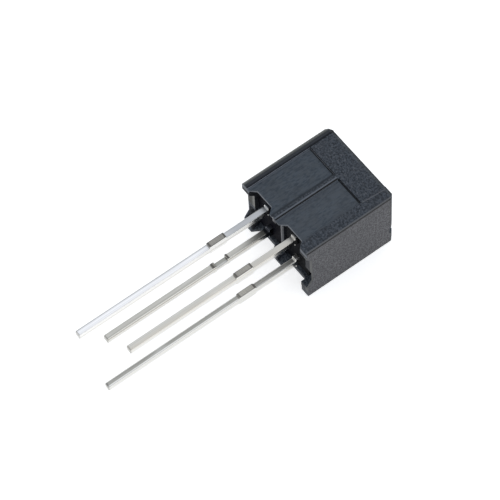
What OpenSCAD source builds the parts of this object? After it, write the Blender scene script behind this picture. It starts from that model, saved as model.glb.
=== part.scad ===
// Reflective optical sensor: a moulded housing with an emitter and a detector side by side.
// Millimetres. X runs across the two cavities and Y from the leads to the sensing face.
// Z points up from the resting face, whose centre under the housing is the origin.

/* [Housing] */
// Width across the two cavities
housing_w = 6.4; // [6:0.1:7]
// Length from the rear feet to the sensing face
housing_l = 6.55; // [6:0.05:7.5]
// Height between the two broad faces
housing_h = 5; // [4.8:0.1:5.6]
// Thickness of the upper and lower broad walls
broad_wall = 0.5; // [0.45:0.05:0.6]
// Thickness of the two end walls
end_wall = 0.7; // [0.55:0.05:0.8]
// Thickness of the front wall round the windows
front_wall = 0.7; // [0.6:0.05:1]
// Thickness of the light barrier between the cavities
barrier_t = 0.3; // [0.2:0.05:0.5]
// Distance from the rear feet to the rear edge of the light barrier
barrier_setback = 0.55; // [0.3:0.05:0.9]
// Width of each window in the front wall
window_w = 1.8; // [1.7:0.1:1.9]
// Height of each window in the front wall
window_h = 2.6; // [2:0.1:3.2]

/* [Outer edges] */
// Width of the bevel along the upper left long edge
long_bevel = 0.22; // [0.1:0.02:0.3]
// Run across the front of the chamfer that marks the emitter side
mark_run_x = 0.48; // [0.2:0.02:0.6]
// Run along the end wall of the chamfer that marks the emitter side
mark_run_y = 0.27; // [0.1:0.01:0.5]
// Width of the bevel on the front right corner
corner_bevel_w = 0.2; // [0.1:0.02:0.3]
// Width of the bevel along the lower front edge
lower_bevel = 0.16; // [0.06:0.02:0.3]
// Extra depth of the nick in the front right corner
nick_d = 0.14; // [0.05:0.01:0.2]
// Distance from the lower face to the nick
nick_rise = 1; // [0.4:0.05:1.5]
// Height of the nick
nick_h = 0.6; // [0.3:0.05:0.8]

/* [Upper face] */
// Width of the raised rim along the left end
left_rim = 0.54; // [0.4:0.02:0.7]
// Width of the raised rim along the right end
right_rim = 0.86; // [0.6:0.02:1]
// Drop from the rims to the field between them
field_drop = 0.05; // [0.03:0.01:0.08]
// Drop from the field to the floor of the two panels
panel_drop = 0.13; // [0.08:0.01:0.16]
// Length of the two panels from the rear feet
panel_l = 4.73; // [4:0.01:5.2]
// Width of the rib between the two panels
rib_w = 0.39; // [0.3:0.01:0.6]

/* [Rear edge] */
// Width of each corner foot
foot_w = 0.66; // [0.5:0.02:0.8]
// Width of the centre tab between the notches
tab_w = 0.9; // [0.7:0.02:1.2]
// Sideways run of each slanted notch side
notch_slant = 0.35; // [0.1:0.05:0.4]
// Depth of the notches in the upper wall
upper_notch = 0.43; // [0.2:0.01:0.6]
// Depth of the notches in the lower wall
lower_notch = 0.55; // [0.2:0.05:0.7]
// Depth of the notch in each end wall
end_notch = 0.38; // [0.2:0.02:0.6]
// Drop from the upper face to the end notches
end_notch_drop = 0.74; // [0.6:0.02:0.9]
// Rise from the lower face to the end notches
end_notch_rise = 0.9; // [0.7:0.05:1.2]
// Height of the slant at the foot of each end notch
end_notch_slant = 0.55; // [0.3:0.05:0.7]
// Depth of the relief cut inside each end wall
relief_d = 0.85; // [0.6:0.05:1.2]
// Wall left outside the relief cut
relief_skin = 0.14; // [0.1:0.02:0.25]
// Height of the relief cut
relief_h = 1.3; // [0.8:0.1:1.6]
// Length of the lead-in slope at the mouth of each cavity
mouth_run = 0.9; // [0.5:0.05:1.2]
// Rise of the lead-in slope at the rear feet
mouth_rise = 0.24; // [0.1:0.02:0.3]

/* [Packages] */
// Clearance above each package and at each side of it
package_gap = 0.04; // [0.02:0.01:0.08]
// Distance from the rear feet to the rear face of each package
package_setback = 0.68; // [0.6:0.02:0.9]
// Chamfer along the long rear edges of each package
package_chamfer = 0.15; // [0.05:0.05:0.3]
// Radius of the lens dome at its base
dome_r = 0.8; // [0.6:0.05:0.85]
// Height of the lens dome above the package front
dome_h = 0.45; // [0.3:0.05:0.5]

/* [Leads] */
// Spacing of the two leads of one package
lead_pitch = 2.54; // [2.5:0.02:2.6]
// Lead thickness across the package
lead_t = 0.4; // [0.35:0.01:0.45]
// Lead width along the pitch
lead_w = 0.47; // [0.4:0.01:0.5]
// Length of a long lead behind the rear feet
long_lead = 13.5; // [10:0.1:16]
// Length of a short lead behind the rear feet
short_lead = 11.7; // [8:0.1:13]
// Height of the lead pairs above the middle of the housing
lead_rise = 0; // [0:0.02:0.1]
// Bevel on the corners of each lead tip
tip_bevel = 0.08; // [0.04:0.01:0.12]
// Distance from the rear feet to the near end of the cut-off tie stubs on the upper leads
upper_stub_start = 2.7; // [2:0.05:3]
// Distance from the rear feet to the near end of the cut-off tie stubs on the lower leads
lower_stub_start = 2.6; // [2:0.05:3]
// Length of the cut-off tie stub
stub_l = 1.25; // [0.9:0.05:2]
// How far the cut-off tie stub stands out on each side
stub_proud = 0.14; // [0.08:0.01:0.2]
// Depth of the neck on the lead whose tie was cut deep
neck_d = 0.2; // [0.1:0.02:0.22]
// Length of the far collar beside that neck
far_collar_l = 0.28; // [0.2:0.02:0.4]
// Length of the near collar beside that neck
near_collar_l = 0.16; // [0.1:0.02:0.3]
// Width of the shoulder where a lead leaves its package
shoulder_w = 0.8; // [0.6:0.05:0.9]
// How far the shoulder stands out of the package
shoulder_out = 0.3; // [0.1:0.02:0.4]
// How far the shoulder reaches into the package
shoulder_in = 0.6; // [0.3:0.1:1]

/* [Chips and wires] */
// Distance from the rear feet to the top of the lead heads
head_l = 3.7; // [3.2:0.1:4]
// Length of the wide part of each lead head
head_wide_l = 1; // [0.8:0.1:1.4]
// Clear space between the two lead heads in a package
head_gap = 0.35; // [0.25:0.05:0.5]
// Side of the square emitter chip
led_chip_w = 0.3; // [0.2:0.02:0.34]
// Thickness of the emitter chip
led_chip_t = 0.2; // [0.15:0.01:0.25]
// Width of the detector chip across the lead
detector_chip_w = 0.34; // [0.3:0.02:0.34]
// Length of the detector chip along the lead head
detector_chip_l = 0.6; // [0.4:0.05:0.7]
// Thickness of the detector chip
detector_chip_t = 0.22; // [0.15:0.01:0.3]
// Lead metal left above and below the longer chip
chip_margin = 0.05; // [0.03:0.01:0.1]
// Thickness of the adhesive under each chip
bond_t = 0.03; // [0.02:0.01:0.05]
// Diameter of the bond wires
wire_d = 0.03; // [0.025:0.005:0.04]
// Height of each wire loop above its chip
loop_h = 0.3; // [0.2:0.05:0.4]

/* [Hidden] */
// Overshoot of a cut past the face that it opens
cut = 0.5;
rear_y = -housing_l / 2;
front_y = housing_l / 2;
half_w = housing_w / 2;
cavity_w = (housing_w - 2 * end_wall - barrier_t) / 2;
cavity_h = housing_h - 2 * broad_wall;
cavity_x = (barrier_t + cavity_w) / 2;
ceiling_z = housing_h - broad_wall;
axis_z = housing_h / 2;
package_w = cavity_w - 2 * package_gap;
package_h = cavity_h - package_gap;
package_rear_y = rear_y + package_setback;
package_front_y = front_y - front_wall;
dome_sphere_r = (dome_r * dome_r + dome_h * dome_h) / (2 * dome_h);
upper_lead_z = axis_z + lead_rise + lead_pitch / 2;
lower_lead_z = axis_z + lead_rise - lead_pitch / 2;
head_y = rear_y + head_l;
chip_seat_half = detector_chip_l / 2 + chip_margin;
post_low_z = axis_z + chip_seat_half + head_gap;
wire_sides = 8;

// A profile drawn with Y to the right and Z up, made into a slab of thickness t centred on x
module slab(x, t) {
    translate([x - t / 2, 0, 0])
        rotate([90, 0, 90])
            linear_extrude(height = t)
                children();
}

// Outline of the housing from above, with the chamfer that marks the emitter side
module footprint() {
    polygon([
        [-half_w, rear_y],
        [half_w, rear_y],
        [half_w, front_y],
        [-half_w + mark_run_x, front_y],
        [-half_w, front_y - mark_run_y]
    ]);
}

// Cut that bevels the front right corner by w, from height z over a height h
module corner_cut(w, z, h) {
    translate([half_w, front_y, z + h / 2])
        rotate([0, 0, 45])
            cube([w * sqrt(2), w * sqrt(2), h], center = true);
}

// One rear notch of a broad wall from above, open to the rear
module notch_outline(depth) {
    polygon([
        [-half_w + foot_w, rear_y],
        [-half_w + foot_w, rear_y - cut],
        [-tab_w / 2, rear_y - cut],
        [-tab_w / 2, rear_y],
        [-tab_w / 2 - notch_slant, rear_y + depth],
        [-half_w + foot_w + notch_slant, rear_y + depth]
    ]);
}

// Both rear notches of one broad wall
module notch_pair(depth, z) {
    for (side = [0, 1])
        mirror([side, 0, 0])
            translate([0, 0, z])
                linear_extrude(height = broad_wall + cut)
                    notch_outline(depth);
}

// Profile of the notch in an end wall
module end_notch_profile() {
    high = housing_h - end_notch_drop;
    low = end_notch_rise;
    polygon([
        [rear_y - cut, high],
        [rear_y, high],
        [rear_y + end_notch, high - end_notch],
        [rear_y + end_notch, low + end_notch_slant],
        [rear_y, low],
        [rear_y - cut, low]
    ]);
}

// Lead-in slopes at the mouth of a cavity, above and below
module mouth_profile() {
    polygon([
        [rear_y - cut, ceiling_z],
        [rear_y + mouth_run, ceiling_z],
        [rear_y, ceiling_z + mouth_rise],
        [rear_y - cut, ceiling_z + mouth_rise]
    ]);
    polygon([
        [rear_y - cut, broad_wall],
        [rear_y + mouth_run, broad_wall],
        [rear_y, broad_wall - mouth_rise],
        [rear_y - cut, broad_wall - mouth_rise]
    ]);
}

// Cavity, mouth, window, end notch and relief on the side with positive X
module side_cuts() {
    // The front of the cavity meets the window, so one rear-open box and one window box
    translate([cavity_x - cavity_w / 2, rear_y - cut, broad_wall])
        cube([cavity_w, package_front_y - rear_y + cut, cavity_h]);
    slab(cavity_x, cavity_w)
        mouth_profile();
    translate([cavity_x - window_w / 2, package_front_y - cut, axis_z - window_h / 2])
        cube([window_w, front_wall + 2 * cut, window_h]);
    slab(half_w, 2 * end_wall)
        end_notch_profile();
    translate([half_w - end_wall - cut, rear_y - cut, end_notch_rise])
        cube([end_wall + cut - relief_skin, relief_d + cut, relief_h]);
}

// Sunken field and panels of the upper face
module face_cuts() {
    field_z = housing_h - field_drop;
    translate([-half_w + left_rim, rear_y - cut, field_z])
        cube([housing_w - left_rim - right_rim, housing_l + 2 * cut, cut]);
    translate([-half_w + left_rim, rear_y - cut, field_z - panel_drop])
        cube([half_w - left_rim - rib_w / 2, panel_l + cut, cut]);
    translate([rib_w / 2, rear_y - cut, field_z - panel_drop])
        cube([half_w - right_rim - rib_w / 2, panel_l + cut, cut]);
}

module housing() {
    color([0.16, 0.17, 0.19])
        difference() {
            linear_extrude(height = housing_h)
                footprint();
            // Bevel along the upper left long edge
            translate([-half_w, 0, housing_h])
                rotate([0, 45, 0])
                    cube([long_bevel * sqrt(2), housing_l + 2 * cut, long_bevel * sqrt(2)], center = true);
            for (side = [0, 1])
                mirror([side, 0, 0])
                    side_cuts();
            // The cavities run together behind the set-back light barrier
            translate([-barrier_t / 2 - cut, rear_y - cut, broad_wall])
                cube([barrier_t + 2 * cut, barrier_setback + cut, cavity_h]);
            notch_pair(upper_notch, ceiling_z);
            notch_pair(lower_notch, -cut);
            face_cuts();
            // Bevel along the lower front edge
            translate([0, front_y, 0])
                rotate([45, 0, 0])
                    cube([housing_w + 2 * cut, lower_bevel * sqrt(2), lower_bevel * sqrt(2)], center = true);
            corner_cut(corner_bevel_w, -cut, housing_h + 2 * cut);
            corner_cut(corner_bevel_w + nick_d, nick_rise, nick_h);
        }
}

// Moulded block of one package, before its lead parts are taken out of it
module package_block(x) {
    slab(x, package_w)
        polygon([
            [package_rear_y, broad_wall + package_chamfer],
            [package_rear_y + package_chamfer, broad_wall],
            [package_front_y, broad_wall],
            [package_front_y, broad_wall + package_h],
            [package_rear_y + package_chamfer, broad_wall + package_h],
            [package_rear_y, broad_wall + package_h - package_chamfer]
        ]);
    translate([x, package_front_y + dome_h - dome_sphere_r, axis_z])
        sphere(r = dome_sphere_r, $fn = 96);
}

// Straight strip of a lead from its tip to its head
module strip_profile(z, length) {
    tip_y = rear_y - length;
    low = z - lead_w / 2;
    high = z + lead_w / 2;
    polygon([
        [tip_y + tip_bevel, low],
        [head_y - head_wide_l, low],
        [head_y - head_wide_l, high],
        [tip_y + tip_bevel, high],
        [tip_y, high - tip_bevel],
        [tip_y, low + tip_bevel]
    ]);
}

// Wider part of a lead where it leaves the package
module shoulder_profile(z) {
    translate([package_rear_y - shoulder_out, z - shoulder_w / 2])
        square([shoulder_out + shoulder_in, shoulder_w]);
}

// Tie stub left on a lead, standing out on both sides
module stub_profile(z, start) {
    translate([rear_y - start - stub_l, z - lead_w / 2 - stub_proud])
        square([stub_l, lead_w + 2 * stub_proud]);
}

// Tie cut deep into the lead, which leaves two collars and a neck
module collar_profile(z, start) {
    far_y = rear_y - start - stub_l;
    near_y = rear_y - start - near_collar_l;
    translate([far_y, z - lead_w / 2 - stub_proud / 2])
        square([far_collar_l, lead_w + stub_proud]);
    translate([near_y, z - lead_w / 2 - stub_proud / 2])
        square([near_collar_l, lead_w + stub_proud]);
}

module neck_cut_profile(z, start) {
    far_y = rear_y - start - stub_l + far_collar_l;
    near_y = rear_y - start - near_collar_l;
    translate([far_y, z + lead_w / 2 - neck_d])
        square([near_y - far_y, neck_d + cut]);
}

// Lead head that carries the chip on its end, reaching from the lower lead to the optical axis
module carrier_head_profile() {
    low = lower_lead_z - lead_w / 2;
    translate([head_y - head_wide_l, low])
        square([head_wide_l, axis_z + chip_seat_half - low]);
}

// Lead head that takes the bond wire, above the chip
module post_head_profile() {
    high = upper_lead_z + lead_w / 2;
    translate([head_y - head_wide_l, post_low_z])
        square([head_wide_l, high - post_low_z]);
}

module upper_lead(x, length) {
    color([0.75, 0.75, 0.74])
        slab(x, lead_t)
            union() {
                strip_profile(upper_lead_z, length);
                shoulder_profile(upper_lead_z);
                stub_profile(upper_lead_z, upper_stub_start);
                post_head_profile();
            }
}

module lower_lead(x, length) {
    color([0.75, 0.75, 0.74])
        slab(x, lead_t)
            union() {
                strip_profile(lower_lead_z, length);
                shoulder_profile(lower_lead_z);
                stub_profile(lower_lead_z, lower_stub_start);
                carrier_head_profile();
            }
}

// Chip of width w, length l and thickness t on its adhesive
module chip(x, w, l, t) {
    color([0.35, 0.36, 0.42])
        translate([x - w / 2, head_y + bond_t, axis_z - l / 2])
            cube([w, t, l]);
}

module chip_bond(x, w, l) {
    color([0.7, 0.7, 0.68])
        translate([x - w / 2, head_y, axis_z - l / 2])
            cube([w, bond_t, l]);
}

// Bond wire as an eight-sided tube with mitred bends, from the top of a chip to the upper lead head
module wire(x, chip_t) {
    start_y = head_y + bond_t + chip_t;
    end_z = (post_low_z + upper_lead_z) / 2;
    top_y = start_y + loop_h;
    bend = loop_h / 3;
    path = [
        [start_y, axis_z],
        [top_y - bend, axis_z],
        [top_y, axis_z + bend],
        [top_y, end_z - bend],
        [top_y - bend, end_z],
        [head_y, end_z]
    ];
    last = len(path) - 1;
    // Direction of each leg, and the mitre direction at each point with its stretch
    leg = [for (i = [0:last - 1]) (path[i + 1] - path[i]) / norm(path[i + 1] - path[i])];
    mitre = [for (i = [0:last])
        let (before = leg[max(i - 1, 0)], after = leg[min(i, last - 1)], sum = before + after)
        [-sum[1], sum[0]] / norm(sum) / (norm(sum) / 2)];
    points = [for (i = [0:last], k = [0:wire_sides - 1])
        let (a = 360 * (k + 0.5) / wire_sides, side = wire_d / 2 * cos(a), out = wire_d / 2 * sin(a))
        [x + side, path[i][0] + out * mitre[i][0], path[i][1] + out * mitre[i][1]]];
    tube = [for (i = [0:last - 1], k = [0:wire_sides - 1])
        let (next = (k + 1) % wire_sides, a = i * wire_sides, b = a + wire_sides)
        [a + k, b + k, b + next, a + next]];
    start_cap = [[for (k = [0:wire_sides - 1]) k]];
    end_cap = [[for (k = [wire_sides - 1:-1:0]) last * wire_sides + k]];
    color([0.9, 0.7, 0.3])
        polyhedron(points = points, faces = concat(tube, start_cap, end_cap));
}

module led_package() {
    color([0.1, 0.1, 0.13])
        difference() {
            package_block(-cavity_x);
            led_anode_lead();
            led_cathode_lead();
            led_chip();
            led_chip_bond();
            led_bond_wire();
        }
}

module led_anode_lead() {
    upper_lead(-cavity_x, long_lead);
}

module led_cathode_lead() {
    color([0.75, 0.75, 0.74])
        slab(-cavity_x, lead_t)
            difference() {
                union() {
                    strip_profile(lower_lead_z, short_lead);
                    shoulder_profile(lower_lead_z);
                    collar_profile(lower_lead_z, lower_stub_start);
                    carrier_head_profile();
                }
                neck_cut_profile(lower_lead_z, lower_stub_start);
            }
}

module led_chip() {
    chip(-cavity_x, led_chip_w, led_chip_w, led_chip_t);
}

module led_chip_bond() {
    chip_bond(-cavity_x, led_chip_w, led_chip_w);
}

module led_bond_wire() {
    wire(-cavity_x, led_chip_t);
}

module phototransistor_package() {
    color([0.1, 0.1, 0.13])
        difference() {
            package_block(cavity_x);
            phototransistor_collector_lead();
            phototransistor_emitter_lead();
            phototransistor_chip();
            phototransistor_chip_bond();
            phototransistor_bond_wire();
        }
}

module phototransistor_collector_lead() {
    lower_lead(cavity_x, long_lead);
}

module phototransistor_emitter_lead() {
    upper_lead(cavity_x, short_lead);
}

module phototransistor_chip() {
    chip(cavity_x, detector_chip_w, detector_chip_l, detector_chip_t);
}

module phototransistor_chip_bond() {
    chip_bond(cavity_x, detector_chip_w, detector_chip_l);
}

module phototransistor_bond_wire() {
    wire(cavity_x, detector_chip_t);
}

housing();
led_package();
led_anode_lead();
led_cathode_lead();
led_chip();
led_chip_bond();
led_bond_wire();
phototransistor_package();
phototransistor_collector_lead();
phototransistor_emitter_lead();
phototransistor_chip();
phototransistor_chip_bond();
phototransistor_bond_wire();
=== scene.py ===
"""Looks, light and camera for the reflective optical sensor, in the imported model's frame."""
import math
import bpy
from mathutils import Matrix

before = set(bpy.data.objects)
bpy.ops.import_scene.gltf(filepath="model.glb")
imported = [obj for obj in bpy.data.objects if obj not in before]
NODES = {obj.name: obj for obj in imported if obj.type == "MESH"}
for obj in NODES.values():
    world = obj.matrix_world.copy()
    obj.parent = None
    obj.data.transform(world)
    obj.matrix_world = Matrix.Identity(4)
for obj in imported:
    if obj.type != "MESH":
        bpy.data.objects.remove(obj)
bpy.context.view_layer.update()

from types import SimpleNamespace

import bpy
from mathutils import Matrix, Vector

MM = 0.001

# Sizes repeated from the part's source, in millimetres
HALF_W = 3.2
REAR_Y = -3.275
FRONT_Y = 3.275
HOUSING_H = 5.0
WALL_X = HALF_W - 0.7
LEFT_PANEL_X = -HALF_W + 0.54
RIGHT_PANEL_X = HALF_W - 0.86
PANEL_END_Y = REAR_Y + 4.73
PANEL_Z = HOUSING_H - 0.05 - 0.13
RIB_HALF = 0.39 / 2
BARRIER_T = 0.3
LEAD_PITCH = 2.54
LEAD_W = 0.47
LEAD_T = 0.4
CAVITY_X = 1.325
UPPER_Z = HOUSING_H / 2 + LEAD_PITCH / 2
LOWER_Z = HOUSING_H / 2 - LEAD_PITCH / 2
LONG_TIP_Y = REAR_Y - 13.5
SHORT_TIP_Y = REAR_Y - 11.7
UPPER_STUB = (REAR_Y - 3.95, REAR_Y - 2.7)
LOWER_STUB = (REAR_Y - 3.85, REAR_Y - 2.6)
PACKAGE_REAR_Y = REAR_Y + 0.68
PACKAGE_CHAMFER = 0.15


# Helpers for node trees

def add(tree, kind, inputs=None, **settings):
    """Adds a node, sets its settings and fills its inputs with sockets or values."""
    made = tree.nodes.new(kind)
    for key, value in settings.items():
        setattr(made, key, value)
    for key, value in (inputs or {}).items():
        if isinstance(value, bpy.types.NodeSocket):
            tree.links.new(value, made.inputs[key])
        else:
            made.inputs[key].default_value = value
    return made


def calc(tree, operation, *values):
    """A Math node's result."""
    return add(tree, "ShaderNodeMath", dict(enumerate(values)), operation=operation).outputs[0]


def product(tree, *values):
    """Product of several masks."""
    result = values[0]
    for value in values[1:]:
        result = calc(tree, "MULTIPLY", result, value)
    return result


def remap(tree, value, low, high, to_low=0.0, to_high=1.0):
    """Value mapped from low..high to to_low..to_high, smoothly and held at both ends."""
    inputs = {"Value": value, "From Min": low, "From Max": high, "To Min": to_low, "To Max": to_high}
    made = add(tree, "ShaderNodeMapRange", inputs, interpolation_type="SMOOTHSTEP")
    return made.outputs["Result"]


def fall(tree, value, low, high):
    """1 below low, falling smoothly to 0 at high."""
    return remap(tree, value, low, high, 1.0, 0.0)


def between(tree, value, low, high, soft):
    """1 where value lies between low and high, falling to 0 over soft outside them."""
    return product(tree, remap(tree, value, low - soft, low), fall(tree, value, high, high + soft))


def opaque(color):
    """A colour of three parts with full opacity as its fourth. A socket stays as it is."""
    return (*color, 1.0) if isinstance(color, tuple) else color


def times(color, factor):
    """A colour made lighter or darker."""
    return tuple(part * factor for part in color)


def blend(tree, share, first, second):
    """A colour between first and second."""
    inputs = {0: share, 6: opaque(first), 7: opaque(second)}
    return add(tree, "ShaderNodeMix", inputs, data_type="RGBA").outputs[2]


def choose(tree, share, first, second):
    """A value between first and second."""
    return add(tree, "ShaderNodeMix", {0: share, 2: first, 3: second}).outputs[0]


def paint(tree, tone, color, *masks, share=1.0):
    """The tone, covered with a share of the colour where every mask is 1."""
    return blend(tree, product(tree, *masks, share), tone, color)


def ramp(tree, value, low, high, stops):
    """A colour looked up from stops, pairs of a place between low and high and a colour."""
    inputs = {"Value": value, "From Min": low, "From Max": high}
    share = add(tree, "ShaderNodeMapRange", inputs).outputs["Result"]
    made = add(tree, "ShaderNodeValToRGB", {0: share})
    elements = made.color_ramp.elements
    while len(elements) < len(stops):
        elements.new(0.5)
    for element, (place, color) in zip(elements, stops):
        element.position = (place - low) / (high - low)
        element.color = opaque(color)
    return made.outputs[0]


def position(tree):
    """Position in the part's frame, in millimetres."""
    place = add(tree, "ShaderNodeTexCoord").outputs["Object"]
    return add(tree, "ShaderNodeVectorMath", {0: place, 3: 1 / MM}, operation="SCALE").outputs[0]


def split(tree, vector):
    """The three parts of a vector."""
    return tuple(add(tree, "ShaderNodeSeparateXYZ", {0: vector}).outputs)


def noise(tree, place, size, detail=2.0, stretch=(1, 1, 1), seed=0.0):
    """Noise from 0 to 1 whose features are about size millimetres, longer along a stretched axis.

    The seed moves the noise, so that two noises differ.
    """
    scale = [1 / (size * s) for s in stretch]
    moved = add(tree, "ShaderNodeMapping", {0: place, 1: (seed, seed * 0.7, -seed), 3: scale}).outputs[0]
    return add(tree, "ShaderNodeTexNoise", {"Vector": moved, "Scale": 1.0, "Detail": detail}).outputs[0]


def faces(tree, axis, sign=0, low=0.8, high=0.95):
    """1 where the surface faces along an axis of the part, or either way along it where sign is 0.

    The mask rises while the normal's part along the axis goes from low to high.
    """
    part = split(tree, add(tree, "ShaderNodeTexCoord").outputs["Normal"])[axis]
    part = calc(tree, "MULTIPLY", part, sign) if sign else calc(tree, "ABSOLUTE", part)
    return remap(tree, part, low, high)


def new_material(name):
    """An empty node material and its tree."""
    material = bpy.data.materials.new(name)
    material.use_nodes = True
    material.node_tree.nodes.clear()
    return material, material.node_tree


def shade(tree, inputs, height, depth_mm, strength):
    """The surface shader, with a bump from height."""
    relief = {"Strength": strength, "Distance": depth_mm * MM, "Height": height}
    inputs = {**inputs, "Normal": add(tree, "ShaderNodeBump", relief).outputs[0]}
    surface = add(tree, "ShaderNodeBsdfPrincipled", inputs)
    output = add(tree, "ShaderNodeOutputMaterial")
    tree.links.new(surface.outputs[0], output.inputs["Surface"])


# Levels of a noise between which the roughness of a surface changes
FINISH_SPAN = (0.3, 0.7)


# Housing plastic

# Colours are linear, and places are millimetres in the part's frame.
# A span holds two places. A band holds two places and how softly it ends outside them.
# A pair of colours holds the tones of a noise at its low and at its high level.

BLACK = (0.0, 0.0, 0.0)
GRAIN = ((0.018, 0.024, 0.033), (0.068, 0.081, 0.1))
GRAIN_PIT = (0.004, 0.006, 0.01)
GRAIN_SPECK = (0.13, 0.138, 0.155)
SMOOTH = ((0.034, 0.047, 0.063), (0.068, 0.085, 0.106))
SMOOTH_PATCH = (0.07, 0.083, 0.098)
SMOOTH_SHEEN = (0.11, 0.12, 0.135)
# The end faces' grain is paler, as painted light
END_PAINTED_LIGHT = ((0.048, 0.048, 0.052), (0.165, 0.165, 0.174))
END_PIT = (0.02, 0.02, 0.022)
END_SPECK = (0.22, 0.22, 0.23)
# Painted shade on the side faces deep in the cavities
CAVITY_SHADE = (0.01, 0.012, 0.017)
HAZE = (0.05, 0.054, 0.06)

# Levels of the noises between which a tone changes
GRAIN_SPAN = (0.38, 0.62)
SPECK_SPAN = (0.56, 0.7)
PIT_SPAN = (0.3, 0.42)
PATCH_SPAN = (0.4, 0.6)
HAZE_SPAN = (0.35, 0.7)

# Where the faces of the housing begin, and the sheen of the right panel
TOP_Z = (HOUSING_H - 0.28, HOUSING_H - 0.22)
UPPER_EDGE_Z = (HOUSING_H - 0.3, HOUSING_H - 0.2)
FLOOR_Z = (PANEL_Z + 0.03, PANEL_Z + 0.06)
PANELS_Y = (PANEL_END_Y - 0.095, PANEL_END_Y + 0.005)
SHEEN_X = (0.0, 0.4)
END_FAR = (HALF_W - 0.2, HALF_W - 0.1)
CAVITY_FAR = (WALL_X + 0.1, WALL_X + 0.2)
CAVITY_Z = (4.65, 4.7)
CAVITY_Y = (-2.4, -2.0)

# Painted highlights and painted shade across the left rim, from its outer edge to its inner wall
RIM_X = (-HALF_W, -2.6)
RIM_HIGHLIGHT_AND_SHADE_STOPS = (
    (-3.2, (0.03, 0.03, 0.022)), (-3.14, (0.13, 0.135, 0.12)), (-3.06, (0.11, 0.115, 0.105)),
    (-3.0, (0.05, 0.052, 0.046)), (-2.95, (0.12, 0.125, 0.12)), (-2.89, (0.022, 0.025, 0.028)),
    (-2.76, (0.03, 0.034, 0.042)), (-2.72, (0.001, 0.002, 0.006)), (-2.66, (0.001, 0.002, 0.006)),
    (-2.64, (0.01, 0.012, 0.018)))
RIM_END_X = (LEFT_PANEL_X, LEFT_PANEL_X + 0.04)
# Painted highlight on the rim's inner wall
RIM_WALL_HIGHLIGHT = (0.24, 0.26, 0.3)
RIM_WALL_Z = (4.8, 4.9, 0.05)
RIM_WALL_X = (LEFT_PANEL_X - 0.02, LEFT_PANEL_X + 0.08, 0.02)
# Painted highlight on the panel floor at the wall's foot
RIM_FOOT_HIGHLIGHT = (0.16, 0.18, 0.21)
RIM_FOOT_X = (LEFT_PANEL_X, LEFT_PANEL_X + 0.08, 0.05)

# Painted shade and painted highlight lines along the rib between the panels: colour, band across the rib
# and share
RIB_HIGHLIGHT_AND_SHADE_LINES = (
    ((0.01, 0.016, 0.023), (-0.34, -0.27, 0.07), 0.7),
    ((0.012, 0.018, 0.026), (-0.2, -0.05, 0.05), 0.15),
    ((0.14, 0.155, 0.18), (0.01, 0.06, 0.035), 0.85),
    (BLACK, (0.11, 0.185, 0.02), 1.0))
# Painted highlight on the panel floor at the rib's foot
RIB_FOOT_HIGHLIGHT = (0.15, 0.17, 0.2)
RIB_FOOT_Z = (4.75, 4.8)
RIB_FOOT_START_X = (RIB_HALF - 0.009, RIB_HALF - 0.003)
RIB_FOOT_X = (RIB_HALF - 0.002, RIB_HALF + 0.025, 0.06)

# Painted shadow at the step at the front end of the panels, and the faint witness line in front of it
STEP_SHADOW = (0.0, 0.001, 0.003)
STEP_Y = (PANEL_END_Y - 0.055, PANEL_END_Y - 0.005, 0.045)
STEP_X = (LEFT_PANEL_X + 0.04, RIGHT_PANEL_X - 0.04, 0.04)
STEP_FAR = (RIB_HALF + 0.005, 3.0, 0.04)
WITNESS = (0.15, 0.152, 0.165)
WITNESS_SLOPE = 0.073
WITNESS_X = (2.26, 2.29, 0.03)
WITNESS_Y = (1.55, 3.1, 0.1)

# Outer edges, with a painted highlight along the long edge, shaded lines and a paler front edge
LONG_EDGE_HIGHLIGHT = (0.15, 0.152, 0.158)
LONG_EDGE_X = (HALF_W - 0.08, HALF_W, 0.04)
LONG_SHADE_Z = (4.84, 4.99, 0.03)
END_UPPER = (0.12, 0.12, 0.126)
END_UPPER_Z = (4.6, 4.76, 0.06)
RIGHT_HALF_X = (0.0, 1.0)
FRONT_EDGE = (0.1, 0.105, 0.1)
FRONT_EDGE_Y = (FRONT_Y - 0.175, FRONT_Y - 0.075, 0.05)
OLIVE = (0.016, 0.016, 0.01)
OLIVE_FRONT_Y = (FRONT_Y - 0.075, FRONT_Y - 0.035)
OLIVE_LEFT_X = (-3.19, -3.17)
OLIVE_UPPER_Z = (4.84, 4.92)
OLIVE_LOWER_Z = (0.0, 0.12)
OLIVE_END_Y = (2.9, 3.05)
OLIVE_END_SHARE = 0.5

# Painted highlight on the edge over the rear notches, which is painted a little higher on the left, and
# painted light and shade on the rear of the walls
REAR_LIFT = 0.05
REAR_LIFT_X = (-0.5, 0.5)
REAR_SHADE = (0.004, 0.004, 0.006)
REAR_SHADE_END_Z = (4.45, 4.55)
REAR_SHADE_START_Z = (4.2, 4.3)
# Painted highlight on the lip along the notches
REAR_LIP_HIGHLIGHT = (0.21, 0.225, 0.25)
REAR_LIP_Z = (4.57, 4.8, 0.05)
BARRIER_X = (-BARRIER_T / 2, BARRIER_T / 2)
BARRIER_SOFT = 0.01
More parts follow.
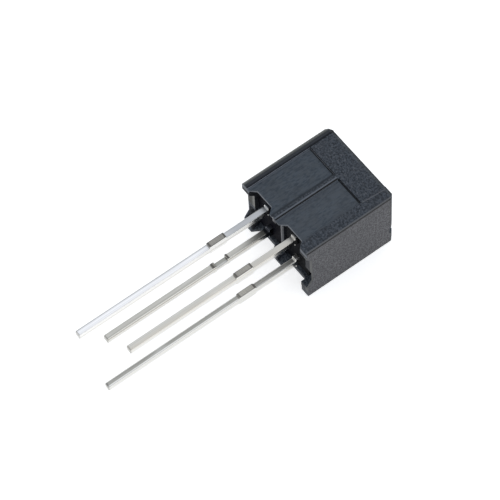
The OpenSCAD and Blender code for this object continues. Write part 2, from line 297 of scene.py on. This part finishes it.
# Painted light and shade on the rear faces of the barrier and the end walls
BARRIER_LIGHT_AND_SHADE_STOPS = ((-0.15, (0.34, 0.34, 0.345)), (-0.06, (0.2, 0.2, 0.21)), (0.03, (0.05, 0.054, 0.06)))
LEFT_END_X = (-HALF_W, -WALL_X)
LEFT_END_START_X = (-WALL_X, -WALL_X + 0.05)
LEFT_END_Z = (2.6, 4.2, 0.15)
LEFT_END_LIGHT_AND_SHADE_STOPS = (
    (-3.1, (0.02, 0.02, 0.014)), (-2.8, (0.045, 0.047, 0.042)), (-2.66, (0.2, 0.2, 0.185)),
    (-2.5, (0.24, 0.24, 0.22)))
RIGHT_END_X = (WALL_X - 0.05, HALF_W)
RIGHT_END_START_X = (WALL_X - 0.05, WALL_X)
RIGHT_END_Z = (0.5, 4.4, 0.1)
RIGHT_END_LIGHT_AND_SHADE_STOPS = (
    (2.45, (0.02, 0.022, 0.028)), (2.88, (0.02, 0.022, 0.028)), (2.98, (0.14, 0.142, 0.14)))


# Roughness of the grain and of the panel floors, and how deep the floors' lines are beside the grain
GRAIN_ROUGHNESS = (0.48, 0.62)
FLOOR_ROUGHNESS = (0.4, 0.5)
LINE_RELIEF = 0.25


def survey(tree):
    """Where a point of the housing lies, and masks for the faces it may belong to.

    far is the distance from the middle plane between the cavities.
    """
    place = position(tree)
    x, y, z = split(tree, place)
    far = calc(tree, "ABSOLUTE", x)
    side = faces(tree, 0)
    top = product(tree, faces(tree, 2, 1), remap(tree, z, *TOP_Z))
    return SimpleNamespace(
        place=place, x=x, y=y, z=z, far=far, side=side, top=top,
        end=product(tree, side, remap(tree, far, *END_FAR)),
        rear=faces(tree, 1, -1),
        panel=product(tree, top, fall(tree, z, *FLOOR_Z)),
        beside_panels=fall(tree, y, *PANELS_Y))


def moulded_tones(tree, at, grain, lines):
    """Spark-eroded grain outside, paler on the end faces as painted light, and finely drawn panel floors.
    """
    speck = remap(tree, noise(tree, at.place, size=0.1, detail=1.0, seed=7.0), *SPECK_SPAN)
    pit = fall(tree, noise(tree, at.place, size=0.16, detail=1.0, seed=11.0), *PIT_SPAN)
    cloud = noise(tree, at.place, size=0.9, seed=3.0)
    patch = noise(tree, at.place, size=0.2, stretch=(1, 2, 1), seed=13.0)

    tone = blend(tree, remap(tree, grain, *GRAIN_SPAN), *GRAIN)
    tone = paint(tree, tone, GRAIN_PIT, pit, share=0.6)
    tone = paint(tree, tone, GRAIN_SPECK, speck, share=0.55)
    smooth = blend(tree, remap(tree, lines, *GRAIN_SPAN), *SMOOTH)
    smooth = paint(tree, smooth, SMOOTH_PATCH, remap(tree, patch, *PATCH_SPAN), share=0.6)
    smooth = paint(tree, smooth, SMOOTH_SHEEN, remap(tree, at.x, *SHEEN_X), share=0.12)
    tone = paint(tree, tone, smooth, at.panel)
    # Paler grain on the end faces, as painted light
    ends = blend(tree, remap(tree, grain, *GRAIN_SPAN), *END_PAINTED_LIGHT)
    ends = paint(tree, ends, END_PIT, pit, share=0.5)
    ends = paint(tree, ends, END_SPECK, speck, share=0.5)
    tone = paint(tree, tone, ends, at.end)
    # Painted shade on the cavities' side faces, near the rear
    inner = product(
        tree, fall(tree, at.far, *CAVITY_FAR), fall(tree, at.z, *CAVITY_Z), fall(tree, at.y, *CAVITY_Y))
    tone = paint(tree, tone, CAVITY_SHADE, inner, at.side)
    return paint(tree, tone, HAZE, remap(tree, cloud, *HAZE_SPAN), share=0.2)


def paint_left_rim(tree, at, tone):
    """Left rim and its bevel: pale outside as a painted highlight, dark at the inner wall as painted
    shade, and pale on the wall and at the wall's foot as painted highlights.
    """
    rim = product(tree, fall(tree, at.x, *RIM_END_X), remap(tree, at.z, *UPPER_EDGE_Z))
    # Painted highlights and painted shade across the rim
    tone = paint(tree, tone, ramp(tree, at.x, *RIM_X, RIM_HIGHLIGHT_AND_SHADE_STOPS), rim, share=0.85)
    wall = product(tree, between(tree, at.z, *RIM_WALL_Z), between(tree, at.x, *RIM_WALL_X), at.side)
    tone = paint(tree, tone, RIM_WALL_HIGHLIGHT, wall, share=0.9)
    return paint(tree, tone, RIM_FOOT_HIGHLIGHT, at.panel, between(tree, at.x, *RIM_FOOT_X), share=0.6)


def paint_panels(tree, at, tone):
    """Painted shade and highlight lines of the rib between the panels, and painted shadow at the dark
    step at the panels' front end.
    """
    rib = product(tree, at.top, at.beside_panels)
    # Painted shade and highlight lines along the rib
    for color, band, share in RIB_HIGHLIGHT_AND_SHADE_LINES:
        tone = paint(tree, tone, color, rib, between(tree, at.x, *band), share=share)
    foot = product(
        tree, remap(tree, at.z, *RIB_FOOT_Z), at.beside_panels,
        remap(tree, at.x, *RIB_FOOT_START_X), between(tree, at.x, *RIB_FOOT_X))
    tone = paint(tree, tone, RIB_FOOT_HIGHLIGHT, foot, share=0.7)

    # Painted shadow at the panels' front step
    step = product(tree, remap(tree, at.z, *UPPER_EDGE_Z), between(tree, at.y, *STEP_Y))
    inside = product(tree, between(tree, at.x, *STEP_X), between(tree, at.far, *STEP_FAR))
    tone = paint(tree, tone, STEP_SHADOW, step, inside, share=0.95)

    # The witness line runs from the right panel's corner to the front edge
    slant = calc(tree, "SUBTRACT", at.x, product(tree, at.y, WITNESS_SLOPE))
    witness = product(tree, at.top, between(tree, slant, *WITNESS_X), between(tree, at.y, *WITNESS_Y))
    return paint(tree, tone, WITNESS, witness, share=0.6)


def paint_edges(tree, at, tone):
    """Pale long edge as a painted highlight with a dark line under it, pale front edge, and thin olive
    outer edges.
    """
    # Painted highlight along the long edge
    tone = paint(tree, tone, LONG_EDGE_HIGHLIGHT, at.top, between(tree, at.x, *LONG_EDGE_X), share=0.7)
    right_end = product(tree, at.end, remap(tree, at.x, *RIGHT_HALF_X))
    tone = paint(tree, tone, BLACK, right_end, between(tree, at.z, *LONG_SHADE_Z))
    tone = paint(tree, tone, END_UPPER, at.end, between(tree, at.z, *END_UPPER_Z), share=0.25)
    tone = paint(tree, tone, FRONT_EDGE, at.top, between(tree, at.y, *FRONT_EDGE_Y), share=0.3)

    end_front = product(tree, remap(tree, at.y, *OLIVE_END_Y), OLIVE_END_SHARE)
    outer = calc(tree, "MAXIMUM", remap(tree, at.y, *OLIVE_FRONT_Y), fall(tree, at.x, *OLIVE_LEFT_X))
    outer = product(tree, outer, remap(tree, at.z, *OLIVE_UPPER_Z))
    outer = calc(tree, "MAXIMUM", outer, product(tree, at.end, fall(tree, at.z, *OLIVE_LOWER_Z)))
    outer = calc(tree, "MAXIMUM", outer, product(tree, at.end, end_front))
    return paint(tree, tone, OLIVE, outer, share=0.8)


def paint_rear(tree, at, tone):
    """Pale lip along the notches as a painted highlight, painted shade below it, and painted light and
    shade on the rear of the barrier and the end walls.
    """
    height = calc(tree, "SUBTRACT", at.z, remap(tree, at.x, *REAR_LIFT_X, REAR_LIFT, 0.0))
    below = product(tree, fall(tree, height, *REAR_SHADE_END_Z), remap(tree, at.z, *REAR_SHADE_START_Z))
    tone = paint(tree, tone, REAR_SHADE, at.rear, below)
    # Painted highlight on the lip
    roughly_rear = faces(tree, 1, -1, 0.45, 0.6)
    tone = paint(tree, tone, REAR_LIP_HIGHLIGHT, roughly_rear, between(tree, height, *REAR_LIP_Z), share=0.85)
    # Painted light and shade on the rear of the barrier and the end walls
    barrier = product(tree, at.rear, between(tree, at.x, *BARRIER_X, BARRIER_SOFT))
    tone = paint(tree, tone, ramp(tree, at.x, *BARRIER_X, BARRIER_LIGHT_AND_SHADE_STOPS), barrier, share=0.8)
    left_end = product(tree, fall(tree, at.x, *LEFT_END_START_X), between(tree, at.z, *LEFT_END_Z))
    tone = paint(tree, tone, ramp(tree, at.x, *LEFT_END_X, LEFT_END_LIGHT_AND_SHADE_STOPS), at.rear, left_end)
    right_end = product(tree, remap(tree, at.x, *RIGHT_END_START_X), between(tree, at.z, *RIGHT_END_Z))
    nearly_rear = faces(tree, 1, -1, 0.6, 0.8)
    return paint(tree, tone, ramp(tree, at.x, *RIGHT_END_X, RIGHT_END_LIGHT_AND_SHADE_STOPS), nearly_rear, right_end)


def housing_plastic():
    """Black moulded plastic with its grain, its painted lines, and painted highlights and painted shade
    on its edges.
    """
    material, tree = new_material("housing_plastic")
    at = survey(tree)
    grain = noise(tree, at.place, size=0.115, detail=3.0)
    lines = noise(tree, at.place, size=0.09, detail=3.0, stretch=(1, 3.5, 1), seed=5.0)
    tone = moulded_tones(tree, at, grain, lines)
    for paint_part in (paint_left_rim, paint_panels, paint_edges, paint_rear):
        tone = paint_part(tree, at, tone)
    rough = remap(tree, grain, *FINISH_SPAN, *GRAIN_ROUGHNESS)
    smooth = remap(tree, lines, *FINISH_SPAN, *FLOOR_ROUGHNESS)
    relief = choose(tree, at.panel, grain, product(tree, lines, LINE_RELIEF))
    shade(tree, {
        "Base Color": tone,
        "Roughness": choose(tree, at.panel, rough, smooth),
        "IOR": 1.5,
        "Specular IOR Level": 0.22}, relief, depth_mm=0.02, strength=0.6)
    return material


# Packages

EPOXY_TINTS = {"led_package": (0.008, 0.008, 0.014), "phototransistor_package": (0.007, 0.008, 0.011)}
# Darkening of the dull rear, as painted shade
DULL_SHADE_TINT = 0.4
FLOW_TINT = 1.8

# The faces behind this place are the dull rear of a package, darkened as painted shade
DULL_END_Y = PACKAGE_REAR_Y + PACKAGE_CHAMFER + 0.01

GLOSSY = SimpleNamespace(roughness=(0.1, 0.2), specular=0.5)
DULL = SimpleNamespace(roughness=(0.55, 0.7), specular=0.03)


def package_epoxy(name, tint, dull):
    """Dark moulded epoxy with faint flow marks. The dull one is the ground rear of the block, and darker
    as painted shade.
    """
    material, tree = new_material(name)
    place = position(tree)
    flow = noise(tree, place, size=0.7, detail=3.0, stretch=(1, 3, 1))
    fine = noise(tree, place, size=0.05, seed=2.0)
    # The dull rear is darkened as painted shade
    dark = times(tint, DULL_SHADE_TINT) if dull else tint
    look = DULL if dull else GLOSSY
    shade(tree, {
        "Base Color": blend(tree, flow, dark, times(dark, FLOW_TINT)),
        "Roughness": remap(tree, fine, *FINISH_SPAN, *look.roughness),
        "IOR": 1.54,
        "Specular IOR Level": look.specular}, fine, depth_mm=0.004, strength=0.3)
    return material


# Leads

# Places across a lead are millimetres from its own axis.
HALF_T = LEAD_T / 2
ROOT_Y = (-8.4, -4.9)
# How far the painted shade inside the housing takes to set in
INNER_SHADE_REACH = 0.12
MARK_SOFT = 0.03
DRAWN_SHADE = (0.3, 0.3, 0.29)
DRAWN_SPAN = (0.35, 0.65)
BRIGHT_PATCH = (0.95, 0.95, 0.94)
BRIGHT_SPAN = (0.5, 0.8)
BURR = (0.2, 0.195, 0.175)
# Painted shade on the leads inside the housing
INNER_SHADE = (0.1, 0.105, 0.12)
TIP_SHADE = (0.2, 0.19, 0.17)
TIP_SHARE = 0.45
TIP_REACH = (0.02, 0.12)
STUB_MARGIN = 0.01
PROUD_REACH = 0.02
SHEAR_LINE_TINTS = (0.88, 1.14)
SHEAR_RIM_TINT = 0.42
SHEAR_RIM_X = (HALF_T - 0.07, HALF_T - 0.03)
SHEAR_RIM_LOW = 0.17
SHEAR_RIM_HIGH = 0.15
SHEAR_RIM_SOFT = 0.05
NECK_RISE = (LEAD_W / 2 - 0.1, LEAD_W / 2 - 0.06)
NECK_STOPS = (
    (-0.18, (0.3, 0.3, 0.27)), (-0.1, (0.36, 0.36, 0.33)), (0.03, (0.36, 0.36, 0.33)),
    (0.1, (0.8, 0.79, 0.75)))
FACING_SPAN = (0.6, 0.9)
MIRROR_ROUGHNESS = (0.13, 0.18)
ROLLED_ROUGHNESS = (0.28, 0.36)
BARE_ROUGHNESS = 0.6
BARE_METALLIC = 0.6

# How each lead looks. All places are in millimetres.
# name: of its material; middle: x and z of its axis; tip_y: its cut end
# walls: colour of the side faces
# across: stops of colour over the width of the upper and lower faces, from the middle, as painted
# highlights and painted reflections, light and dark
# root, root_share: colour of the painted shade towards the housing on those faces, and its share there
# mark, mark_z, mark_half: colour, height over the middle and half width of the line on the side faces
# stub, proud: lowest and highest y of the tie stub, and how far a sheared face stands out
# bare: colour of the sheared faces; inner_shade_y: where the painted shade inside the housing starts
# edge, segments: rounding of the lead's edges
LEADS = {
    "led_anode_lead": SimpleNamespace(
        name="tin_long_upper", middle=(-CAVITY_X, UPPER_Z), tip_y=LONG_TIP_Y,
        walls=(0.95, 0.94, 0.91),
        across=(
            (-0.2, (0.6, 0.6, 0.59)), (-0.14, (0.5, 0.5, 0.5)), (-0.08, (0.83, 0.83, 0.84)),
            (-0.01, (0.97, 0.97, 0.98)), (0.07, (0.87, 0.87, 0.88)), (0.17, (0.92, 0.915, 0.92))),
        root=(0.4, 0.41, 0.42), root_share=0.9,
        mark=(0.66, 0.64, 0.6), mark_z=-0.08, mark_half=0.02,
        stub=UPPER_STUB, proud=0.05, bare=(0.385, 0.37, 0.335),
        inner_shade_y=-2.92, edge=0.03, segments=2),
    "led_cathode_lead": SimpleNamespace(
        name="tin_short_lower", middle=(-CAVITY_X, LOWER_Z), tip_y=SHORT_TIP_Y,
        walls=(0.77, 0.76, 0.72),
        across=(
            (-0.2, (0.57, 0.56, 0.52)), (-0.14, (0.48, 0.47, 0.43)), (-0.04, (0.54, 0.53, 0.49)),
            (0.05, (0.5, 0.49, 0.45)), (0.1, (0.42, 0.41, 0.37)), (0.14, (0.5, 0.49, 0.44)),
            (0.16, (0.9, 0.88, 0.82))),
        root=(0.5, 0.49, 0.45), root_share=0.15,
        mark=(0.4, 0.37, 0.31), mark_z=0.15, mark_half=0.035,
        stub=LOWER_STUB, proud=0.02, bare=(0.38, 0.365, 0.33),
        inner_shade_y=-3.2, edge=0.03, segments=2),
    "phototransistor_emitter_lead": SimpleNamespace(
        name="tin_short_upper", middle=(CAVITY_X, UPPER_Z), tip_y=SHORT_TIP_Y,
        walls=(0.79, 0.775, 0.735),
        across=(
            (-0.2, (0.66, 0.65, 0.62)), (-0.1, (0.6, 0.585, 0.54)), (0.0, (0.6, 0.585, 0.54)),
            (0.08, (0.63, 0.6, 0.54)), (0.14, (0.6, 0.57, 0.51)), (0.19, (0.7, 0.67, 0.6))),
        root=(0.5, 0.48, 0.44), root_share=0.5,
        mark=(0.7, 0.66, 0.58), mark_z=0.17, mark_half=0.03,
        stub=UPPER_STUB, proud=0.05, bare=(0.43, 0.41, 0.37),
        inner_shade_y=-2.8, edge=0.03, segments=2),
    "phototransistor_collector_lead": SimpleNamespace(
        name="tin_long_lower", middle=(CAVITY_X, LOWER_Z), tip_y=LONG_TIP_Y,
        walls=(0.8, 0.79, 0.75),
        across=(
            (-0.16, (0.95, 0.94, 0.9)), (-0.11, (0.3, 0.295, 0.27)), (-0.04, (0.34, 0.335, 0.31)),
            (0.0, (0.4, 0.39, 0.36)), (0.06, (0.34, 0.335, 0.305)), (0.1, (0.7, 0.69, 0.65)),
            (0.13, (1.0, 0.99, 0.95))),
        root=(0.45, 0.44, 0.41), root_share=0.2,
        mark=(0.8, 0.79, 0.75), mark_z=-0.1, mark_half=0.03,
        stub=LOWER_STUB, proud=0.05, bare=(0.58, 0.56, 0.505),
        inner_shade_y=-2.62, edge=0.06, segments=3)}


def paint_stub(tree, look, at, tone):
    """Bare sheared faces of the cut tie stub, its burr, and the neck of a deep cut.

    Returns the tone and the mask of the sheared faces.
    """
    low, high = look.stub
    along = between(tree, at.y, low - STUB_MARGIN, high + STUB_MARGIN, STUB_MARGIN)
    stand = LEAD_W / 2 + look.proud
    sheared = product(tree, along, remap(tree, at.rise, stand, stand + PROUD_REACH), at.flat)
    inner = product(
        tree, fall(tree, calc(tree, "ABSOLUTE", at.off_x), *SHEAR_RIM_X),
        between(tree, at.y, low + SHEAR_RIM_LOW, high - SHEAR_RIM_HIGH, SHEAR_RIM_SOFT))
    shear_lines = noise(tree, at.place, size=0.05, detail=3.0, stretch=(12, 1, 1), seed=9.0)
    tints = (times(look.bare, tint) for tint in SHEAR_LINE_TINTS)
    ground = blend(tree, remap(tree, shear_lines, *FINISH_SPAN), *tints)
    ground = blend(tree, inner, times(look.bare, SHEAR_RIM_TINT), ground)
    tone = paint(tree, tone, ground, sheared)

    neck = product(tree, along, at.flat, fall(tree, at.rise, *NECK_RISE))
    tone = paint(tree, tone, ramp(tree, at.off_x, -HALF_T, HALF_T, NECK_STOPS), neck)
    across = faces(tree, 1, 0, *FACING_SPAN)
    return paint(tree, tone, BURR, across, along, share=0.75), sheared


def lead_tin(look):
    """Bright tin plating, drawn along the lead."""
    material, tree = new_material(look.name)
    place = position(tree)
    x, y, z = split(tree, place)
    off_x = calc(tree, "SUBTRACT", x, look.middle[0])
    off_z = calc(tree, "SUBTRACT", z, look.middle[1])
    flat = faces(tree, 2, 0, *FACING_SPAN)
    at = SimpleNamespace(place=place, y=y, off_x=off_x, rise=calc(tree, "ABSOLUTE", off_z), flat=flat)
    drawn = noise(tree, place, size=0.045, stretch=(1, 90, 1))
    patch = noise(tree, place, size=0.5, stretch=(0.5, 4, 0.5), seed=4.0)

    # Painted highlights and painted reflections across the upper and lower faces
    tone = blend(tree, flat, look.walls, ramp(tree, off_x, -HALF_T, HALF_T, look.across))
    tone = paint(tree, tone, DRAWN_SHADE, remap(tree, drawn, *DRAWN_SPAN), share=0.12)
    tone = paint(tree, tone, BRIGHT_PATCH, remap(tree, patch, *BRIGHT_SPAN), share=0.2)
    low, high = look.mark_z - look.mark_half, look.mark_z + look.mark_half
    tone = paint(tree, tone, look.mark, faces(tree, 0), between(tree, off_z, low, high, MARK_SOFT))
    # Painted shade towards the housing
    tone = paint(tree, tone, look.root, remap(tree, y, *ROOT_Y), flat, share=look.root_share)
    tone, sheared = paint_stub(tree, look, at, tone)
    # Painted shade on the lead inside the housing
    tone = paint(tree, tone, INNER_SHADE, remap(tree, y, look.inner_shade_y, look.inner_shade_y + INNER_SHADE_REACH))
    low, high = (look.tip_y + reach for reach in TIP_REACH)
    tone = paint(tree, tone, TIP_SHADE, fall(tree, y, low, high), share=TIP_SHARE)

    mirror = remap(tree, drawn, *FINISH_SPAN, *MIRROR_ROUGHNESS)
    rolled = remap(tree, drawn, *FINISH_SPAN, *ROLLED_ROUGHNESS)
    plated = choose(tree, flat, mirror, rolled)
    shade(tree, {
        "Base Color": tone,
        "Metallic": choose(tree, sheared, 1.0, BARE_METALLIC),
        "Roughness": choose(tree, sheared, plated, BARE_ROUGHNESS)}, drawn, depth_mm=0.002, strength=0.15)
    return material


# Chips and their bonds

def streaked(name, size, stretch, tones, metallic, roughness, detail=2.0, depth_mm=0.001):
    """A small part's material: two tones of fine streaks or flakes, with bump and roughness from them."""
    material, tree = new_material(name)
    grain = noise(tree, position(tree), size, detail, stretch)
    shade(tree, {
        "Base Color": blend(tree, grain, *tones),
        "Metallic": metallic,
        "Roughness": remap(tree, grain, *FINISH_SPAN, *roughness)}, grain, depth_mm, strength=0.5)
    return material


def chip_silicon():
    """Grey semiconductor with a finely sawn surface."""
    return streaked(
        "chip", size=0.01, stretch=(8, 1, 1), tones=((0.07, 0.07, 0.1), (0.15, 0.15, 0.2)),
        metallic=0.3, roughness=(0.2, 0.35))


def chip_adhesive():
    """Silver-filled adhesive."""
    return streaked(
        "chip_adhesive", size=0.012, stretch=(1, 1, 1), tones=((0.42, 0.42, 0.4), (0.7, 0.7, 0.68)),
        metallic=0.5, roughness=(0.4, 0.6), detail=3.0, depth_mm=0.002)


def wire_gold():
    """Fine drawn gold wire."""
    return streaked(
        "wire_gold", size=0.006, stretch=(1, 1, 6), tones=((0.8, 0.55, 0.18), (0.9, 0.68, 0.3)),
        metallic=1.0, roughness=(0.18, 0.28))


# Dressing the CAD nodes

# Widths of rounded edges, in millimetres
HOUSING_EDGE = 0.025
PACKAGE_EDGE = 0.03
CHIP_EDGE = 0.004
BOND_EDGE = 0.002
WIRE_EDGE = 0.001

# Limits of the modifiers
WELD_MM = 0.0005
FLAT_DEGREES = 0.5
SHARP_DEGREES = 25


def dress(node, material, edge_mm, segments=2, rear=None):
    """Gives a CAD node its material and rounds its sharp edges inward by edge_mm.

    rear: a second material, for the faces at the rear end of the node, and the y up to which they reach
    """
    piece = NODES[node]
    mesh = piece.data
    mesh.materials.clear()
    mesh.materials.append(material)
    if rear:
        mesh.materials.append(rear[0])
    for face in mesh.polygons:
        face.material_index = 1 if rear and face.center.y < rear[1] * MM else 0
        face.use_smooth = True
    if "custom_normal" in mesh.attributes:
        mesh.attributes.remove(mesh.attributes["custom_normal"])
    weld = piece.modifiers.new("weld", "WELD")
    weld.merge_threshold = WELD_MM * MM
    flatten = piece.modifiers.new("flatten", "DECIMATE")
    flatten.decimate_type = "DISSOLVE"
    flatten.angle_limit = math.radians(FLAT_DEGREES)
    flatten.delimit = {"MATERIAL"}
    rounding = piece.modifiers.new("rounding", "BEVEL")
    rounding.width = edge_mm * MM
    rounding.segments = segments
    rounding.limit_method = "ANGLE"
    rounding.angle_limit = math.radians(SHARP_DEGREES)
    rounding.use_clamp_overlap = True
    even = piece.modifiers.new("even", "WEIGHTED_NORMAL")
    even.mode = "FACE_AREA"
    even.weight = 100


dress("housing", housing_plastic(), HOUSING_EDGE)
for package, epoxy_tint in EPOXY_TINTS.items():
    glossy = package_epoxy(package + "_epoxy", epoxy_tint, False)
    shaded_dull_rear = package_epoxy(package + "_rear", epoxy_tint, True)
    dress(package, glossy, PACKAGE_EDGE, rear=(shaded_dull_rear, DULL_END_Y))
for lead, lead_look in LEADS.items():
    dress(lead, lead_tin(lead_look), lead_look.edge, lead_look.segments)
SILICON = chip_silicon()
ADHESIVE = chip_adhesive()
GOLD = wire_gold()
for owner in ("led", "phototransistor"):
    dress(owner + "_chip", SILICON, CHIP_EDGE, segments=1)
    dress(owner + "_chip_bond", ADHESIVE, BOND_EDGE, segments=1)
    dress(owner + "_bond_wire", GOLD, WIRE_EDGE, segments=1)


# Stage, light and camera

# The floor and the lamp. Glows are strengths of emission.
FLOOR_HALF_M = 1.5
FLOOR_DROP_MM = 0.01
FLOOR_TONE = (0.86, 0.86, 0.855)
SEEN_GLOW = 0.62
MIRRORED_GLOW = 0.53
LAMP_DIRECTION = (-0.42, 0.28, 0.86)
LAMP_TARGET_MM = (0, -5, 2)
LAMP_DISTANCE_M = 0.3
LAMP_SIZE_M = 0.22
LAMP_RADIANCE = 0.5

# The world's tones, and the span of height over which one turns into the other
HORIZON = (0.95, 0.95, 0.95)
OVERHEAD = (0.56, 0.59, 0.64)
OVERHEAD_SPAN = (0.0, 0.9)

# The camera, from a fit to about 60 corners and edges of the photograph. Angles are in degrees.
CAMERA_AZIMUTH = 56.62
CAMERA_ELEVATION = 59.56
CAMERA_ROLL = -4.07
CAMERA_DISTANCE_MM = 176.2
CAMERA_TARGET_MM = (-0.34, -4.905, 2.5)
FOCAL_PX = 2939.66
FRAME_PX = 500
SENSOR_MM = 36


def white_floor():
    """Pale floor that the camera, gloss and glass see a little brighter than it is lit."""
    low, high, level = -FLOOR_HALF_M, FLOOR_HALF_M, -FLOOR_DROP_MM * MM
    corners = [(low, low, level), (high, low, level), (high, high, level), (low, high, level)]
    mesh = bpy.data.meshes.new("floor")
    mesh.from_pydata(corners, [], [(0, 1, 2, 3)])
    floor = bpy.data.objects.new("floor", mesh)
    bpy.context.scene.collection.objects.link(floor)
    material, tree = new_material("floor_white")
    paths = add(tree, "ShaderNodeLightPath")
    seen = product(tree, paths.outputs["Is Camera Ray"], SEEN_GLOW)
    mirrored = calc(tree, "MAXIMUM", paths.outputs["Is Glossy Ray"], paths.outputs["Is Transmission Ray"])
    strength = calc(tree, "ADD", seen, product(tree, mirrored, MIRRORED_GLOW))
    lit = add(tree, "ShaderNodeBsdfDiffuse", {"Color": opaque(FLOOR_TONE)})
    glow = add(tree, "ShaderNodeEmission", {"Strength": strength})
    both = add(tree, "ShaderNodeAddShader", {0: lit.outputs[0], 1: glow.outputs[0]})
    output = add(tree, "ShaderNodeOutputMaterial")
    tree.links.new(both.outputs[0], output.inputs["Surface"])
    mesh.materials.append(material)


def soft_box():
    """Square area lamp overhead that looks at the middle of the part."""
    lamp = bpy.data.lights.new("overhead", "AREA")
    lamp.shape = "SQUARE"
    lamp.size = LAMP_SIZE_M
    lamp.energy = LAMP_RADIANCE * math.pi * LAMP_SIZE_M ** 2
    holder = bpy.data.objects.new("overhead", lamp)
    bpy.context.scene.collection.objects.link(holder)
    toward = Vector(LAMP_DIRECTION).normalized()
    holder.location = Vector(LAMP_TARGET_MM) * MM + toward * LAMP_DISTANCE_M
    holder.rotation_mode = "QUATERNION"
    holder.rotation_quaternion = toward.to_track_quat("Z", "Y")


def surroundings():
    """World that is pale near the horizon and a little dimmer overhead."""
    world = bpy.data.worlds.new("studio")
    world.use_nodes = True
    tree = world.node_tree
    tree.nodes.clear()
    up = split(tree, add(tree, "ShaderNodeTexCoord").outputs["Generated"])[2]
    tone = blend(tree, remap(tree, up, *OVERHEAD_SPAN), HORIZON, OVERHEAD)
    background = add(tree, "ShaderNodeBackground", {"Color": tone, "Strength": 1.0})
    output = add(tree, "ShaderNodeOutputWorld")
    tree.links.new(background.outputs[0], output.inputs["Surface"])
    bpy.context.scene.world = world


def photo_camera():
    """Camera at the photograph's viewing angle."""
    azimuth, elevation, roll = (math.radians(a) for a in (CAMERA_AZIMUTH, CAMERA_ELEVATION, CAMERA_ROLL))
    back = Vector((
        math.sin(azimuth) * math.cos(elevation),
        -math.cos(azimuth) * math.cos(elevation),
        math.sin(elevation)))
    level = Vector((math.cos(azimuth), math.sin(azimuth), 0))
    rise = back.cross(level)
    right = math.cos(roll) * level + math.sin(roll) * rise
    up = -math.sin(roll) * level + math.cos(roll) * rise
    lens = bpy.data.cameras.new("camera")
    lens.sensor_width = SENSOR_MM
    lens.lens = FOCAL_PX * SENSOR_MM / FRAME_PX
    lens.clip_start = 0.01
    lens.clip_end = 20
    camera = bpy.data.objects.new("camera", lens)
    bpy.context.scene.collection.objects.link(camera)
    turn = Matrix((right, up, back)).transposed()
    eye = Vector(CAMERA_TARGET_MM) * MM + back * (CAMERA_DISTANCE_MM * MM)
    camera.matrix_world = Matrix.Translation(eye) @ turn.to_4x4()
    bpy.context.scene.camera = camera


white_floor()
soft_box()
surroundings()
photo_camera()
bpy.context.scene.view_settings.view_transform = "Standard"
